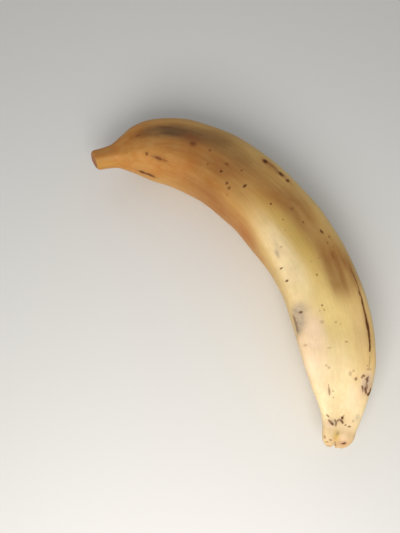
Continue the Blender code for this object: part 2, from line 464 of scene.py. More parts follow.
# Share, angle, half length, half width and depth of the small dark flecks
SPECKS: Stations = (
    (0.109, 72.0, 1.3, 0.6, 0.45), (0.126, 119.0, 0.85, 0.85, 0.60), (0.275, 87.0, 0.7, 0.7, 0.55),
    (0.290, 109.0, 0.7, 0.6, 0.40), (0.325, 92.0, 1.2, 0.8, 0.45), (0.327, 107.0, 0.75, 0.7, 0.90),
    (0.357, 115.0, 0.75, 0.7, 0.70), (0.369, 118.0, 0.8, 0.75, 0.60), (0.376, 126.0, 0.5, 0.5, 0.35),
    (0.359, 85.0, 0.6, 0.6, 0.55), (0.391, 102.0, 0.62, 1.2, 0.95), (0.379, 47.0, 1.3, 1.0, 1.00),
    (0.421, 46.0, 1.7, 0.8, 0.92), (0.440, 46.0, 0.95, 0.8, 0.80), (0.460, 93.0, 0.6, 0.6, 0.80),
    (0.504, 95.0, 0.5, 0.5, 0.40), (0.531, 70.0, 0.65, 0.6, 0.55), (0.495, 71.0, 1.0, 0.9, 0.25),
    (0.556, 119.0, 0.4, 0.5, 0.40), (0.566, 55.0, 1.2, 0.6, 0.80), (0.581, 50.0, 0.6, 0.5, 0.45),
    (0.590, 57.0, 0.6, 0.5, 0.40), (0.600, 52.0, 0.6, 0.5, 0.18), (0.611, 56.0, 0.6, 0.4, 0.30),
    (0.606, 131.0, 0.5, 0.7, 0.85), (0.6395, 131.0, 0.55, 0.6, 0.90), (0.646, 94.0, 0.55, 0.55, 0.55),
    (0.613, 81.0, 0.45, 0.45, 0.30), (0.615, 95.0, 0.45, 0.45, 0.25), (0.711, 103.0, 0.5, 0.5, 0.65),
    (0.721, 102.0, 0.4, 0.45, 0.50), (0.721, 109.0, 0.5, 0.5, 0.14), (0.7155, 129.8, 0.55, 0.65, 0.90),
    (0.745, 110.0, 1.0, 1.0, 0.20), (0.750, 89.0, 0.35, 0.8, 0.40), (0.755, 82.0, 0.35, 0.6, 0.28),
    (0.792, 79.0, 0.35, 1.0, 0.40), (0.801, 109.0, 0.3, 1.3, 0.26), (0.790, 135.0, 0.5, 0.7, 0.22),
    (0.836, 119.0, 0.6, 0.5, 0.22), (0.841, 116.0, 0.6, 0.6, 0.28), (0.864, 66.6, 0.75, 0.7, 0.62),
    (0.849, 71.5, 0.6, 0.6, 0.25), (0.854, 78.0, 1.1, 0.9, 0.24), (0.847, 46.6, 0.6, 1.0, 0.24),
    (0.887, 116.0, 0.45, 0.45, 0.35), (0.9373, 93.1, 0.7, 0.75, 1.00), (0.9328, 88.9, 0.35, 0.35, 0.50),
    (0.9402, 55.7, 0.5, 0.5, 0.25), (0.984, 126.5, 0.42, 0.42, 0.50), (0.9896, 138.4, 0.4, 0.4, 0.45),
    (0.9805, 141.4, 0.8, 0.35, 0.40), (0.9915, 104.4, 0.5, 0.45, 0.55), (0.2335, 87.5, 1.6, 1.4, 0.45),
)

# Soft grey bruises and soft brown patches, in the same columns with a turn before the depth
BRUISES: Stations = (
    (0.711, 132.2, 5.4, 3.9, 8.0, 0.82), (0.732, 134.2, 6.4, 3.3, 12.0, 0.92),
    (0.751, 137.4, 3.4, 2.0, 12.0, 0.95), (0.565, 126.5, 3.6, 0.8, 6.0, 0.75),
    (0.545, 122.0, 5.0, 0.9, 4.0, 0.30), (0.932, 47.0, 1.6, 1.1, 0.0, 0.50),
    (0.949, 117.0, 1.5, 1.4, 0.0, 0.60), (0.945, 108.0, 1.1, 1.2, 0.0, 0.40),
    (0.873, 46.0, 4.6, 2.6, 0.0, 0.55),
)
TANS: Stations = (
    (0.109, 72.0, 3.0, 1.6, 0.0, 0.40), (0.158, 125.0, 6.5, 2.0, 6.0, 0.65),
    (0.126, 119.0, 1.8, 1.6, 0.0, 0.45), (0.110, 167.8, 5.0, 2.0, 3.0, 0.85),
    (0.134, 170.3, 4.4, 1.9, 3.0, 0.85), (0.2335, 87.0, 3.0, 2.6, 0.0, 0.95),
    (0.222, 78.0, 6.0, 3.6, 0.0, 0.80), (0.325, 100.0, 8.0, 5.0, 0.0, 0.22),
    (0.393, 47.0, 7.0, 1.9, 0.0, 0.95), (0.432, 45.0, 8.0, 1.4, 0.0, 0.50),
    (0.660, 44.0, 10.0, 1.6, 0.0, 0.60), (0.765, 44.0, 15.0, 1.5, 0.0, 0.50),
    (0.790, 135.0, 1.6, 1.4, 0.0, 0.14), (0.885, 124.0, 3.5, 1.2, 0.0, 0.28),
    (0.866, 48.0, 3.0, 1.8, 0.0, 0.40), (0.884, 46.0, 3.4, 2.6, 0.0, 0.45),
    (0.950, 128.0, 2.2, 2.0, 0.0, 0.40), (0.943, 96.0, 1.8, 2.6, 0.0, 0.35),
    (0.984, 66.0, 1.6, 2.0, 0.0, 0.60),
)
STROKES = (
    # The shoulder's streaks
    Stroke(Mark.SPECK, 0.25, ((0.134, 121.0, 0.2), (0.143, 122.6, 0.45), (0.150, 124.0, 0.45))),
    Stroke(Mark.SPECK, 0.60, (
        (0.150, 124.0, 0.5), (0.156, 125.2, 0.85), (0.163, 126.0, 0.6), (0.168, 126.4, 0.3),
    )),
    Stroke(Mark.SPECK, 0.35, ((0.168, 126.4, 0.3), (0.178, 127.0, 0.5), (0.189, 127.4, 0.2))),
    Stroke(Mark.SPECK, 0.85, ((0.098, 166.6, 0.3), (0.105, 167.8, 1.0), (0.114, 168.8, 0.45))),
    Stroke(Mark.SPECK, 0.75, (
        (0.114, 168.8, 0.45), (0.127, 169.4, 0.95), (0.134, 170.0, 0.8), (0.141, 171.0, 0.45),
    )),
    Stroke(Mark.SPECK, 0.36, ((0.150, 60.5, 0.3), (0.166, 60.5, 0.6), (0.182, 61.5, 0.3))),
    # The trail beside the ridge
    Stroke(Mark.SPECK, 0.20, ((0.388, 45.5, 0.4), (0.404, 45.5, 0.7), (0.414, 46.0, 0.4))),
    # The long scar on the ridge
    Stroke(Mark.SCAR, 0.60, (
        (0.640, 43.5, 0.15), (0.658, 44.0, 0.3), (0.668, 43.0, 0.26), (0.682, 43.2, 0.26),
    )),
    Stroke(Mark.SCAR, 0.45, ((0.682, 43.2, 0.24), (0.692, 43.6, 0.20))),
    Stroke(Mark.SCAR, 1.0, (
        (0.690, 43.4, 0.16), (0.702, 44.1, 0.34), (0.713, 43.5, 0.30), (0.722, 44.3, 0.38),
        (0.734, 44.2, 0.32), (0.749, 43.9, 0.36), (0.764, 44.1, 0.58), (0.777, 43.7, 0.42),
        (0.787, 43.9, 0.42), (0.802, 44.2, 0.33), (0.813, 45.3, 0.34), (0.817, 45.6, 0.12),
    )),
    Stroke(Mark.SCAR, 0.28, ((0.820, 45.6, 0.2), (0.834, 46.4, 0.3), (0.846, 46.8, 0.2))),
    # The line beside the bruise
    Stroke(Mark.SCAR, 0.42, (
        (0.715, 140.8, 0.3), (0.724, 140.2, 0.70), (0.732, 139.8, 0.60), (0.744, 139.5, 0.65),
        (0.752, 140.2, 0.60), (0.758, 140.6, 0.2),
    )),
    # The scabs near the blossom end, on the convex side
    Stroke(Mark.SCAB, 0.70, ((0.8582, 54.2, 0.5), (0.8592, 53.0, 0.45))),
    Stroke(Mark.SCAB, 0.55, ((0.8612, 56.4, 0.4), (0.8625, 55.6, 0.35))),
    Stroke(Mark.SCAB, 0.70, (
        (0.8605, 46.2, 0.25), (0.8650, 48.2, 0.60), (0.8682, 46.2, 0.34), (0.8716, 48.0, 0.22),
    )),
    Stroke(Mark.SCAB, 0.45, ((0.8716, 48.0, 0.22), (0.8753, 47.0, 0.45), (0.8800, 45.4, 0.50))),
    Stroke(Mark.SCAB, 0.65, (
        (0.8770, 53.9, 0.30), (0.8800, 53.0, 0.45), (0.8840, 51.9, 0.25), (0.8880, 50.8, 0.12),
    )),
    Stroke(Mark.SCAB, 0.80, ((0.8800, 48.2, 0.35), (0.8851, 46.6, 0.48), (0.8897, 44.9, 0.35))),
    Stroke(Mark.SCAB, 0.85, ((0.8818, 38.0, 0.40), (0.8878, 37.4, 0.40), (0.8913, 39.6, 0.75))),
    Stroke(Mark.SPECK, 0.45, (
        (0.873, 121.8, 0.05), (0.880, 122.2, 0.22), (0.888, 122.9, 0.42), (0.895, 123.8, 0.18),
    )),
    # The smears round the blossom end
    Stroke(Mark.SPECK, 0.55, ((0.9350, 135.4, 0.20), (0.9380, 133.4, 0.40), (0.9410, 131.2, 0.20))),
    Stroke(Mark.SCAB, 0.60, ((0.9462, 132.5, 0.25), (0.9485, 129.6, 0.50), (0.9510, 126.6, 0.55))),
    Stroke(Mark.SCAB, 0.85, ((0.9510, 126.6, 0.52), (0.9530, 123.8, 0.52), (0.9546, 122.4, 0.28))),
    Stroke(Mark.SPECK, 0.62, ((0.9433, 117.0, 0.32), (0.9485, 112.2, 0.40), (0.9546, 112.8, 0.34))),
    Stroke(Mark.SPECK, 0.52, ((0.9450, 109.6, 0.38), (0.9418, 103.4, 0.42), (0.9432, 97.5, 0.38))),
    Stroke(Mark.SCAB, 0.80, ((0.9428, 96.4, 0.40), (0.9448, 92.0, 0.55), (0.9466, 88.6, 0.45))),
    Stroke(Mark.SPECK, 0.55, ((0.9500, 79.6, 0.32), (0.9492, 74.6, 0.32))),
    Stroke(Mark.SPECK, 0.60, ((0.9512, 65.4, 0.35), (0.9506, 59.4, 0.35))),
    Stroke(Mark.SCAB, 0.85, ((0.9818, 57.5, 0.40), (0.9826, 61.0, 0.50))),
    Stroke(Mark.SPECK, 0.55, ((0.9830, 62.0, 0.40), (0.9850, 69.5, 0.35))),
)


class Zone(Enum):
    """A soft area of skin with a colour, in the order in which they are painted."""

    OCHRE_AND_PAINTED_SHADE = "ochre_and_painted_shade"
    CREAM_AND_PAINTED_HIGHLIGHT = "cream_and_painted_highlight"
    LEMON = "lemon"
    BUFF = "buff"
    GREEN = "green"
    BROWN_AND_PAINTED_SHADE = "brown_and_painted_shade"
    BLUSH = "blush"
    OLIVE = "olive"


# Share, reach along, angle, reach round it and weight of each soft area
ZONES: dict[Zone, Stations] = {
    # Ochre skin at the stalk end, deepened as painted shade over the stalk half and on the inner flank
    Zone.OCHRE_AND_PAINTED_SHADE: (
        (0.00, 0.13, 90.0, 400.0, 0.85), (0.19, 0.12, 135.0, 62.0, 0.70),
        (0.33, 0.12, 130.0, 50.0, 0.60), (0.40, 0.13, 172.0, 30.0, 0.90),
        (0.52, 0.07, 180.0, 26.0, 0.45), (0.30, 0.22, 250.0, 60.0, 0.50), (0.10, 0.13, 55.0, 50.0, 0.60),
        (0.27, 0.13, 95.0, 45.0, 0.50), (0.45, 0.06, 84.0, 17.0, 0.60), (0.445, 0.06, 150.0, 24.0, 0.62),
        (0.978, 0.007, 106.0, 8.0, 0.50),
    ),
    Zone.OLIVE: (
        (0.150, 0.045, 70.0, 15.0, 0.60), (0.195, 0.060, 69.0, 17.0, 0.75),
        (0.290, 0.070, 64.0, 18.0, 0.50), (0.969, 0.0040, 101.5, 6.0, 0.45),
    ),
    Zone.GREEN: (
        (0.475, 0.05, 97.0, 12.0, 0.25), (0.56, 0.09, 92.0, 16.0, 0.80),
        (0.764, 0.008, 138.0, 7.0, 0.60), (0.015, 0.035, 150.0, 40.0, 0.35),
        (0.55, 0.25, 270.0, 60.0, 0.40), (0.975, 0.011, 105.0, 12.0, 0.85),
    ),
    # Cream: pale skin, laid lightest as a painted highlight along the lit band near 120 degrees and at
    # the sheen near the blossom end
    Zone.CREAM_AND_PAINTED_HIGHLIGHT: (
        (0.53, 0.065, 120.0, 13.0, 0.65), (0.64, 0.10, 121.0, 18.0, 0.95),
        (0.84, 0.09, 115.0, 50.0, 0.95), (0.94, 0.07, 90.0, 200.0, 0.95), (0.70, 0.25, 12.0, 24.0, 0.55),
        (0.43, 0.17, 10.0, 22.0, 0.40),
    ),
    Zone.BLUSH: (
        (0.775, 0.055, 128.0, 15.0, 0.85), (0.756, 0.030, 117.0, 9.0, 0.60),
        (0.840, 0.050, 140.0, 16.0, 0.50), (0.895, 0.030, 66.0, 14.0, 0.45),
        (0.872, 0.018, 47.0, 9.0, 0.85), (0.972, 0.011, 72.0, 14.0, 0.25),
        (0.956, 0.006, 130.0, 10.0, 0.60),
    ),
    # Brown: painted shadow on the stalk half, and brown skin on the upper convex flank darkened further
    # as painted shadow
    Zone.BROWN_AND_PAINTED_SHADE: (
        (0.30, 0.10, 128.0, 60.0, 0.50), (0.28, 0.08, 45.0, 30.0, 0.35), (0.37, 0.07, 72.0, 24.0, 0.50),
        (0.50, 0.09, 65.0, 22.0, 0.88), (0.632, 0.064, 62.0, 20.0, 0.85),
        (0.676, 0.028, 66.0, 15.0, 0.65), (0.65, 0.05, 42.0, 10.0, 0.35),
    ),
    Zone.LEMON: (
        (0.725, 0.085, 92.0, 34.0, 0.80),
    ),
    Zone.BUFF: (
        (0.775, 0.060, 52.0, 12.0, 0.50), (0.990, 0.040, 70.0, 75.0, 0.90),
        (1.000, 0.035, 250.0, 105.0, 0.85),
    ),
}


@dataclass(frozen=True)
class SkinField:
    """Soft maps over the skin: how near each point is to a mark or the middle of a soft area.

    Every point has its share along the skin, its angle in degrees and its radius from the centre line.
    The radius and the length of the fruit are in millimetres here.
    """

    length: float
    share: np.ndarray
    angle: np.ndarray
    radius: np.ndarray
    far: float = 9.0
    cone_reach: float = 2.0
    soft_fall: float = 2.5
    area_fall: float = 3.0

    def steps_from(self, mark: Blemish) -> np.ndarray:
        """Measures from the middle of a mark.

        Args:
            mark: The mark.

        Returns:
            Every point's distance, where 1 is at the mark's edge.
        """
        along = (self.share - mark.share) * self.length
        across = np.radians(turn_between(self.angle, mark.angle)) * self.radius
        cos, sin = math.cos(math.radians(mark.turn)), math.sin(math.radians(mark.turn))
        u = (along * cos + across * sin) / mark.along
        v = (across * cos - along * sin) / mark.across
        return np.hypot(u, v)

    def steps_from_stroke(self, stroke: Stroke) -> np.ndarray:
        """Measures from the middle line of a stroke.

        Args:
            stroke: The stroke.

        Returns:
            Every point's distance, where 1 is at the stroke's edge.
        """
        nearest = np.full_like(self.share, self.far)
        for here, after in zip(stroke.stations[:-1], stroke.stations[1:]):
            (share, angle, half), (next_share, next_angle, next_half) = here, after
            along = (self.share - share) * self.length
            across = np.radians(turn_between(self.angle, angle)) * self.radius
            reach_along = (next_share - share) * self.length
            reach_across = math.radians(turn_between(next_angle, angle)) * self.radius
            size = reach_along**2 + reach_across**2
            t = np.clip((along * reach_along + across * reach_across) / size, 0.0, 1.0)
            off = np.hypot(along - t * reach_along, across - t * reach_across)
            nearest = np.minimum(nearest, off / (half + (next_half - half) * t))
        return nearest

    def crisp(self, steps: list[tuple[np.ndarray, float]]) -> tuple[np.ndarray, np.ndarray]:
        """Joins marks with an edge.

        Args:
            steps: For each mark, the distances from it and its depth.

        Returns:
            A cone over each mark, 0.5 at its edge, and the depth of the nearest mark.
        """
        best, depth = np.zeros_like(self.share), np.zeros_like(self.share)
        for distance, how_deep in steps:
            cone = np.clip(1.0 - distance / self.cone_reach, 0.0, 1.0)
            depth = np.where(cone > best, how_deep, depth)
            best = np.maximum(best, cone)
        return best, depth

    def soft(self, marks: list[Blemish]) -> np.ndarray:
        """Joins marks that fade out.

        Args:
            marks: The marks.

        Returns:
            How much of a mark every point has, from 0 to 1.
        """
        total = np.zeros_like(self.share)
        for mark in marks:
            total = np.maximum(total, mark.depth * np.exp(-self.steps_from(mark) ** self.soft_fall))
        return total

    def zone(self, windows: Stations) -> np.ndarray:
        """Joins the windows of one soft area.

        Args:
            windows: For each window its share, reach along, angle, reach round and weight.

        Returns:
            How far every point is inside the area, from 0 to 1.
        """
        rest = np.ones_like(self.share)
        for share, reach, angle, spread, weight in windows:
            u = (self.share - share) / reach
            v = turn_between(self.angle, angle) / spread
            rest = rest * (1.0 - weight * np.exp(-(u**2) - np.abs(v) ** self.area_fall))
        return 1.0 - rest


@dataclass(frozen=True)
class HiddenMarks:
    """Marks for the sides that no picture shows, drawn by a fixed seed. Each pair is a range."""

    seed: int = 41
    specks: int = 46
    scabs: int = 5
    tans: int = 6
    shares: Pair = (0.12, 0.93)
    angles: Pair = (185.0, 385.0)
    sizes: Pair = (0.4, 0.95)
    stretches: Pair = (1.0, 2.4)
    tan_sizes: Pair = (1.5, 4.0)
    depths: Pair = (0.3, 0.9)
    turns: Pair = (-15.0, 15.0)

    def draw(self) -> list[Blemish]:
        """Draws the marks.

        Returns:
            Flecks, a few scabs and soft brown patches.
        """
        chance = random.Random(self.seed)
        marks = []
        for kind, count in ((Mark.SPECK, self.specks), (Mark.SCAB, self.scabs), (Mark.TAN, self.tans)):
            for _ in range(count):
                share = chance.uniform(*self.shares)
                angle = chance.uniform(*self.angles) % 360.0
                size = chance.uniform(*self.sizes)
                stretch = chance.uniform(*self.stretches)
                if kind is Mark.TAN:
                    size = chance.uniform(*self.tan_sizes)
                depth = chance.uniform(*self.depths)
                turn = chance.uniform(*self.turns)
                marks.append(Blemish(kind, share, angle, size * stretch, size, turn, depth))
        return marks


@dataclass(frozen=True)
class NodeSketch:
    """Writes a node tree a step at a time, for a material or for geometry."""

    tree: bpy.types.NodeTree

    def add(
        self, kind: str, inputs: dict[int | str, object] | None = None, **settings: object
    ) -> bpy.types.Node:
        """Adds a node.

        Args:
            kind: Blender's name of the node's type.
            inputs: Links or plain values for its inputs, by name or number.
            **settings: Properties to set on it.

        Returns:
            The node.
        """
        node = self.tree.nodes.new(kind)
        for name, value in settings.items():
            setattr(node, name, value)
        for place, value in (inputs or {}).items():
            self.feed(node.inputs[place], value)
        return node

    def feed(self, socket: Socket, value: object) -> None:
        """Gives an input a link or a plain value.

        Args:
            socket: The input.
            value: An output to link from, or the value.
        """
        if isinstance(value, bpy.types.NodeSocket):
            self.tree.links.new(value, socket)
        else:
            socket.default_value = value

    def math(self, operation: str, *values: object, clamp: bool = False) -> Socket:
        """One step of arithmetic."""
        inputs = dict(enumerate(values))
        return self.add("ShaderNodeMath", inputs, operation=operation, use_clamp=clamp).outputs[0]

    def stretched(self, where: Socket, scales: object) -> Socket:
        """A place with each of its directions scaled."""
        node = self.add("ShaderNodeVectorMath", {0: where, 1: scales}, operation="MULTIPLY")
        return node.outputs[0]

    def noise(self, where: Socket, scale: object, detail: float = 2.0, rough: float = 0.5) -> Socket:
        """Smooth noise from 0 to 1 at a place."""
        inputs = {"Vector": where, "Scale": scale, "Detail": detail, "Roughness": rough}
        return self.add("ShaderNodeTexNoise", inputs, noise_dimensions="3D").outputs[0]

    def swing(self, noise: Socket, height: object) -> Socket:
        """Noise from 0 to 1 as a height to either side of zero."""
        return self.math("MULTIPLY", self.math("MULTIPLY_ADD", noise, 2.0, -1.0), height)

    def remap(self, value: Socket, ends: Pair, to: Pair = (0.0, 1.0)) -> Socket:
        """A soft step between two levels.

        Args:
            value: What rises or falls.
            ends: Where the step starts and where it ends.
            to: What it gives at its start and at its end.

        Returns:
            The stepped value.
        """
        names = ("Value", "From Min", "From Max", "To Min", "To Max")
        inputs = dict(zip(names, (value, *ends, *to)))
        step = self.add("ShaderNodeMapRange", inputs, interpolation_type="SMOOTHSTEP", clamp=True)
        return step.outputs[0]

    def blend(self, factor: object, first: object, second: object) -> Socket:
        """Blends two colours."""
        inputs = {0: factor, 6: first, 7: second}
        return self.add("ShaderNodeMix", inputs, data_type="RGBA", clamp_factor=True).outputs[2]

    def lit(self, colour: object, value: Socket) -> Socket:
        """A colour made lighter or darker."""
        return self.add("ShaderNodeHueSaturation", {"Value": value, "Color": colour}).outputs[0]

    def bump(self, strength: float, distance: float, height: Socket) -> Socket:
        """A normal for fine relief."""
        inputs = {"Strength": strength, "Distance": distance, "Height": height}
        return self.add("ShaderNodeBump", inputs).outputs[0]

    def skin_map(self, name: str, output: str = "Fac") -> Socket:
        """Reads one of the skin's own maps in a material."""
        node = self.add("ShaderNodeAttribute", attribute_type="GEOMETRY", attribute_name=name)
        return node.outputs[output]


def start_material(name: str) -> tuple[bpy.types.Material, NodeSketch, bpy.types.Node]:
    """Starts a material.

    Args:
        name: The material's name.

    Returns:
        The material, a sketch of its tree and its shader.
    """
    made = bpy.data.materials.new(name)
    made.use_nodes = True
    return made, NodeSketch(made.node_tree), made.node_tree.nodes["Principled BSDF"]


@dataclass(frozen=True)
class SkinFinish:
    """Satin peel: soft areas of colour, fibres, specks, scabs, a bruise and the dry ends."""

    name: str = "plantain_peel"
    straw: Colour = srgb(226, 190, 116)
    # Ochre: the skin's own colour, and painted shade on the stalk half and the inner flank
    ochre_and_painted_shade: Colour = srgb(182, 112, 38)
    olive: Colour = srgb(93, 66, 35)
    green: Colour = srgb(202, 168, 88)
    # Cream: pale skin, and a painted highlight
    cream_and_painted_highlight: Colour = srgb(243, 219, 171)
    blush: Colour = srgb(250, 218, 184)
    # Brown, partly the skin's own and partly painted shadow
    brown_and_painted_shade: Colour = srgb(144, 94, 42)
    lemon: Colour = srgb(234, 207, 136)
    buff: Colour = srgb(208, 174, 128)
    tan: Colour = srgb(138, 76, 28)
    bruise: Colour = srgb(172, 154, 133)
    speck: Colour = srgb(82, 48, 14)
    scab: Colour = srgb(74, 42, 24)
    cut: Colour = srgb(168, 116, 76)
    cut_fibre: Colour = srgb(192, 144, 98)
    scar: Colour = srgb(86, 60, 38)
    roughness: float = 0.47
    grain_roughness: float = 0.10
    mark_roughness: float = 0.22
    dry_roughness: float = 0.35
    gloss: float = 0.32
    flesh: float = 0.08
    flesh_radius: Triple = (1.0, 0.5, 0.2)
    flesh_depth: float = 0.003
    grain_scales: Triple = (90.0, 1300.0, 1300.0)
    grain_light: Pair = (0.955, 1.03)
    cloud_scale: float = 70.0
    cloud_light: Pair = (0.94, 1.04)
    streak_scales: Triple = (40.0, 330.0, 330.0)
    least_wander: float = 0.25
    cloud_wander: float = 0.9
    streak_wander: float = 0.6
    noise_range: Pair = (0.3, 0.7)
    patch_scale: float = 420.0
    patch_least: float = 0.2
    patch_spread: float = 1.5
    tan_strength: float = 0.8
    pore_scale: float = 190.0
    pore_edge: Pair = (0.05, 0.11)
    pore_chosen: Pair = (0.80, 0.95)
    pore_strength: float = 0.5
    ragged_scale: float = 1400.0
    raggedness: float = 0.28
    halo: Pair = (0.06, 0.50)
    halo_strength: float = 0.60
    speck_edge: Pair = (0.30, 0.70)
    scab_edge: Pair = (0.33, 0.67)
    end_scale: float = 1500.0
    end_fibres: Pair = (0.52, 0.72)
    end_raggedness: float = 0.25
    end_edge: Pair = (0.35, 0.65)
    dimple_scale: float = 2600.0
    crust_scale: float = 3200.0
    dimple_share: float = 0.35
    bump_strength: float = 0.25
    bump_distance: float = 0.0004

    def material(self) -> bpy.types.Material:
        """Builds the material.

        Returns:
            The peel's material, which reads the skin's own maps.
        """
        made, sketch, shader = start_material(self.name)
        place = sketch.skin_map("unbent", "Vector")
        grain = sketch.noise(sketch.stretched(place, self.grain_scales), 1.0, detail=3.0, rough=0.55)
        colour = self._areas(sketch, place, grain)
        colour, dark = self._marks(sketch, place, colour)
        colour, dry = self._ends(sketch, place, colour)
        sketch.feed(shader.inputs["Base Color"], colour)
        least = self.roughness - self.grain_roughness / 2
        rough = sketch.math("MULTIPLY_ADD", grain, self.grain_roughness, least)
        rough = sketch.math("MULTIPLY_ADD", dark, self.mark_roughness, rough)
        rough = sketch.math("MULTIPLY_ADD", dry, self.dry_roughness, rough, clamp=True)
        sketch.feed(shader.inputs["Roughness"], rough)
        sketch.feed(shader.inputs["Normal"], self._bump(sketch, place, grain, dark))
        shader.inputs["Specular IOR Level"].default_value = self.gloss
        shader.inputs["Subsurface Weight"].default_value = self.flesh
        shader.inputs["Subsurface Radius"].default_value = self.flesh_radius
        shader.inputs["Subsurface Scale"].default_value = self.flesh_depth
        return made

    def _areas(self, sketch: NodeSketch, place: Socket, grain: Socket) -> Socket:
        """Paints the soft areas, with mottling and fibres.

        Args:
            sketch: The tree's sketch.
            place: Where on the unbent fruit the point is.
            grain: Long fine fibres, from 0 to 1.

        Returns:
            The skin's colour without its marks.
        """
        cloud = sketch.noise(place, self.cloud_scale, detail=3.0, rough=0.6)
        streak = sketch.noise(sketch.stretched(place, self.streak_scales), 1.0, detail=2.5, rough=0.55)
        wander = sketch.math("MULTIPLY_ADD", cloud, self.cloud_wander, self.least_wander)
        wander = sketch.math("MULTIPLY_ADD", streak, self.streak_wander, wander)
        colour: object = self.straw
        for zone in Zone:
            part = sketch.math("MULTIPLY", sketch.skin_map(zone.value), wander, clamp=True)
            colour = sketch.blend(part, colour, getattr(self, zone.value))
        light = sketch.remap(grain, self.noise_range, self.grain_light)
        mottle = sketch.remap(cloud, self.noise_range, self.cloud_light)
        return sketch.lit(colour, sketch.math("MULTIPLY", light, mottle))

    def _marks(self, sketch: NodeSketch, place: Socket, colour: Socket) -> tuple[Socket, Socket]:
        """Paints the brown patches, the bruise, pores, specks and scabs.

        Args:
            sketch: The tree's sketch.
            place: Where on the unbent fruit the point is.
            colour: The skin's colour so far.

        Returns:
            The colour with the marks, and how much of a dark mark the point has.
        """
        patchy = sketch.noise(place, self.patch_scale, detail=3.0, rough=0.6)
        patchy = sketch.math("MULTIPLY_ADD", patchy, self.patch_spread, self.patch_least)
        tan = sketch.math("MULTIPLY", sketch.skin_map("tan"), patchy, clamp=True)
        colour = sketch.blend(sketch.math("MULTIPLY", tan, self.tan_strength), colour, self.tan)
        bruise = sketch.math("MULTIPLY", sketch.skin_map("bruise"), patchy, clamp=True)
        colour = sketch.blend(bruise, colour, self.bruise)

        spread = {"Vector": place, "Scale": self.pore_scale}
        cells = sketch.add("ShaderNodeTexVoronoi", spread, feature="F1")
        dots = sketch.remap(cells.outputs["Distance"], self.pore_edge, (1.0, 0.0))
        pick = sketch.add("ShaderNodeSeparateColor", {0: cells.outputs["Color"]})
        chosen = sketch.remap(pick.outputs[0], self.pore_chosen)
        dots = sketch.math("MULTIPLY", sketch.math("MULTIPLY", dots, chosen), self.pore_strength)
        colour = sketch.blend(dots, colour, self.speck)

        dark: object = 0.0
        fine = sketch.noise(place, self.ragged_scale, detail=3.0, rough=0.65)
        ragged = sketch.swing(fine, self.raggedness)
        kinds = (("speck", self.speck, self.speck_edge), ("scab", self.scab, self.scab_edge))
        for name, tint, edge in kinds:
            near = sketch.math("ADD", sketch.skin_map(name), ragged)
            depth = sketch.skin_map(name + "_depth")
            halo = sketch.math("MULTIPLY", sketch.remap(near, self.halo), depth)
            colour = sketch.blend(sketch.math("MULTIPLY", halo, self.halo_strength), colour, self.tan)
            part = sketch.math("MULTIPLY", sketch.remap(near, edge), depth)
            colour = sketch.blend(part, colour, tint)
            dark = sketch.math("MAXIMUM", dark, part)
        return colour, dark

    def _ends(self, sketch: NodeSketch, place: Socket, colour: Socket) -> tuple[Socket, Socket]:
        """Paints the dry cut of the stalk and the scar of the blossom end.

        Args:
            sketch: The tree's sketch.
            place: Where on the unbent fruit the point is.
            colour: The skin's colour so far.

        Returns:
            The colour with both ends, and how dry the point is.
        """
        fibre = sketch.noise(place, self.end_scale, detail=2.0, rough=0.6)
        cut_face = sketch.blend(sketch.remap(fibre, self.end_fibres), self.cut, self.cut_fibre)
        ragged = sketch.swing(fibre, self.end_raggedness)
        dry: object = 0.0
        for name, tint in (("cut", cut_face), ("scar", self.scar)):
            part = sketch.remap(sketch.math("ADD", sketch.skin_map(name), ragged), self.end_edge)
            colour = sketch.blend(part, colour, tint)
            dry = sketch.math("MAXIMUM", dry, part)
        return colour, dry

    def _bump(self, sketch: NodeSketch, place: Socket, grain: Socket, dark: Socket) -> Socket:
        """Adds fine relief: fibres, dimples and the crust of the scabs.

        Args:
            sketch: The tree's sketch.
            place: Where on the unbent fruit the point is.
            grain: Long fine fibres, from 0 to 1.
            dark: How much of a dark mark the point has.

        Returns:
            The normal.
        """
        dimples = sketch.noise(place, self.dimple_scale, detail=2.0, rough=0.5)
        fibres = sketch.math("MULTIPLY", grain, 1.0 - self.dimple_share)
        height = sketch.math("MULTIPLY_ADD", dimples, self.dimple_share, fibres)
        crust = sketch.noise(place, self.crust_scale, detail=2.0, rough=0.6)
        height = sketch.math("MULTIPLY_ADD", dark, crust, height)
        return sketch.bump(self.bump_strength, self.bump_distance, height)


@dataclass(frozen=True)
class DryFinish:
    """Dried plant fibre, brown to nearly black."""

    name: str
    pale: Colour
    dark: Colour
    roughness: float = 0.85
    mottle_scale: float = 1800.0
    mottle_edge: Pair = (0.35, 0.65)
    bump_strength: float = 0.4
    bump_distance: float = 0.0002

    def material(self) -> bpy.types.Material:
        """Builds the material.

        Returns:
            The material, which varies along and between the strands.
        """
        made, sketch, shader = start_material(self.name)
        where = sketch.add("ShaderNodeTexCoord").outputs["Object"]
        mottle = sketch.noise(where, self.mottle_scale, detail=3.0, rough=0.6)
        colour = sketch.blend(sketch.remap(mottle, self.mottle_edge), self.dark, self.pale)
        sketch.feed(shader.inputs["Base Color"], colour)
        sketch.feed(shader.inputs["Normal"], sketch.bump(self.bump_strength, self.bump_distance, mottle))
        shader.inputs["Roughness"].default_value = self.roughness
        return made


@dataclass(frozen=True)
class FloorFinish:
    """A plain, pale, matt studio floor."""

    name: str = "studio_floor"
    colour: Colour = srgb(226, 225, 222)
    roughness: float = 0.7
    cloud_scale: float = 3.0
    cloud_edge: Pair = (0.2, 0.8)
    cloud_light: Pair = (0.985, 1.0)

    def material(self) -> bpy.types.Material:
        """Builds the material.

        Returns:
            The material, with a trace of unevenness.
        """
        made, sketch, shader = start_material(self.name)
        where = sketch.add("ShaderNodeTexCoord").outputs["Object"]
        cloud = sketch.remap(sketch.noise(where, self.cloud_scale), self.cloud_edge, self.cloud_light)
        sketch.feed(shader.inputs["Base Color"], sketch.lit(self.colour, cloud))
        shader.inputs["Roughness"].default_value = self.roughness
        return made


